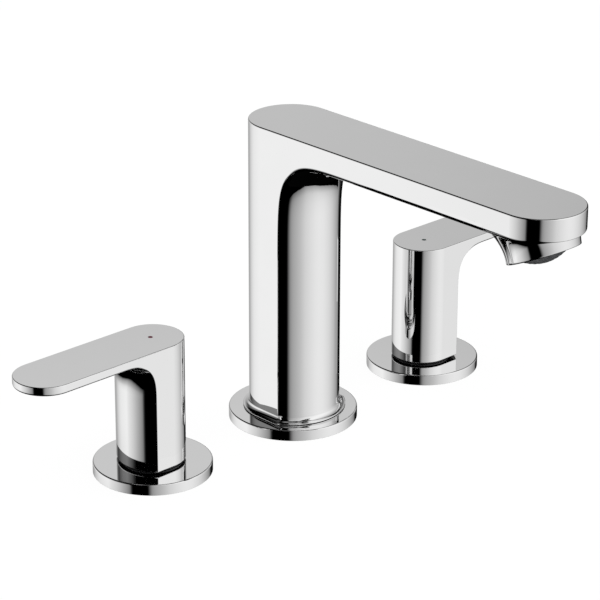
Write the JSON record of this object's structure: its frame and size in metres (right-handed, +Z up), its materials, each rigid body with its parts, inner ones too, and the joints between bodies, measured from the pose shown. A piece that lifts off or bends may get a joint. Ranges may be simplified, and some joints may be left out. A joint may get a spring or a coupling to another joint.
{
  "type": "basin mixer tap",
  "caption": "Chromed deck-mounted basin mixer tap: flat arched spout with a tilted outlet and separate hot and cold lever handles on ceramic valves.",
  "frame": {"origin": "centre of the spout's escutcheon on the deck's upper face", "axes": "+X towards the user's right (cold side), -Y along the spout over the basin, +Y towards the wall, +Z up"},
  "size_m": [0.2958, 0.1839, 0.2222],
  "materials": {
    "chrome": "polished chrome plate",
    "brass": "machined, unplated",
    "steel": "bright zinc-plated or stainless",
    "rubber": "matte black",
    "dark_plastic": "matte black",
    "grey_plastic": "dark grey, finely textured",
    "white_plastic": "off-white, moulded",
    "ceramic": "lapped",
    "copper": "bright copper tube",
    "red_enamel": "gloss red",
    "blue_enamel": "gloss blue"
  },
  "bodies": {
    "fixed": {"spout_body": "chrome", "spout_escutcheon": "chrome", "spout_gasket": "rubber", "spout_shank": "brass", "spout_oring": "rubber", "spout_locating_pin": "steel", "spout_rubber_washer": "rubber", "spout_steel_washer": "steel", "spout_lock_nut": "brass", "spout_tee": "brass", "tee_seal": "rubber", "aerator_housing": "brass", "aerator_insert": "grey_plastic", "aerator_screen": "steel", "aerator_seal": "rubber", "hot_fixed_disc": "ceramic", "hot_seat_seal": "rubber", "hot_cartridge_housing": "brass", "hot_valve_body": "brass", "hot_inlet_nipple": "brass", "hot_riser_tube": "copper", "hot_escutcheon": "chrome", "hot_gasket": "rubber", "hot_glide_ring": "dark_plastic", "hot_rubber_washer": "rubber", "hot_steel_washer": "steel", "hot_lock_nut": "brass", "cold_fixed_disc": "ceramic", "cold_seat_seal": "rubber", "cold_cartridge_housing": "brass", "cold_valve_body": "brass", "cold_inlet_nipple": "brass", "cold_riser_tube": "copper", "cold_escutcheon": "chrome", "cold_gasket": "rubber", "cold_glide_ring": "dark_plastic", "cold_rubber_washer": "rubber", "cold_steel_washer": "steel", "cold_lock_nut": "brass"},
    "hot_lever": {"hot_handle": "chrome", "hot_index_dot": "red_enamel", "hot_snap_insert": "white_plastic", "hot_spindle": "brass", "hot_spindle_clip": "steel", "hot_spindle_oring": "rubber", "hot_rotating_disc": "ceramic"},
    "cold_lever": {"cold_handle": "chrome", "cold_index_dot": "blue_enamel", "cold_snap_insert": "white_plastic", "cold_spindle": "brass", "cold_spindle_clip": "steel", "cold_spindle_oring": "rubber", "cold_rotating_disc": "ceramic"}
  },
  "joints": [
    {"name": "hot_handle_turn", "type": "hinge", "parent": "fixed", "child": "hot_lever", "pos_m": [-0.08, 0, 0], "axis": [0, 0, 1], "range_deg": [0, 90]},
    {"name": "cold_handle_turn", "type": "hinge", "parent": "fixed", "child": "cold_lever", "pos_m": [0.08, 0, 0], "axis": [0, 0, -1], "range_deg": [0, 90]}
  ]
}
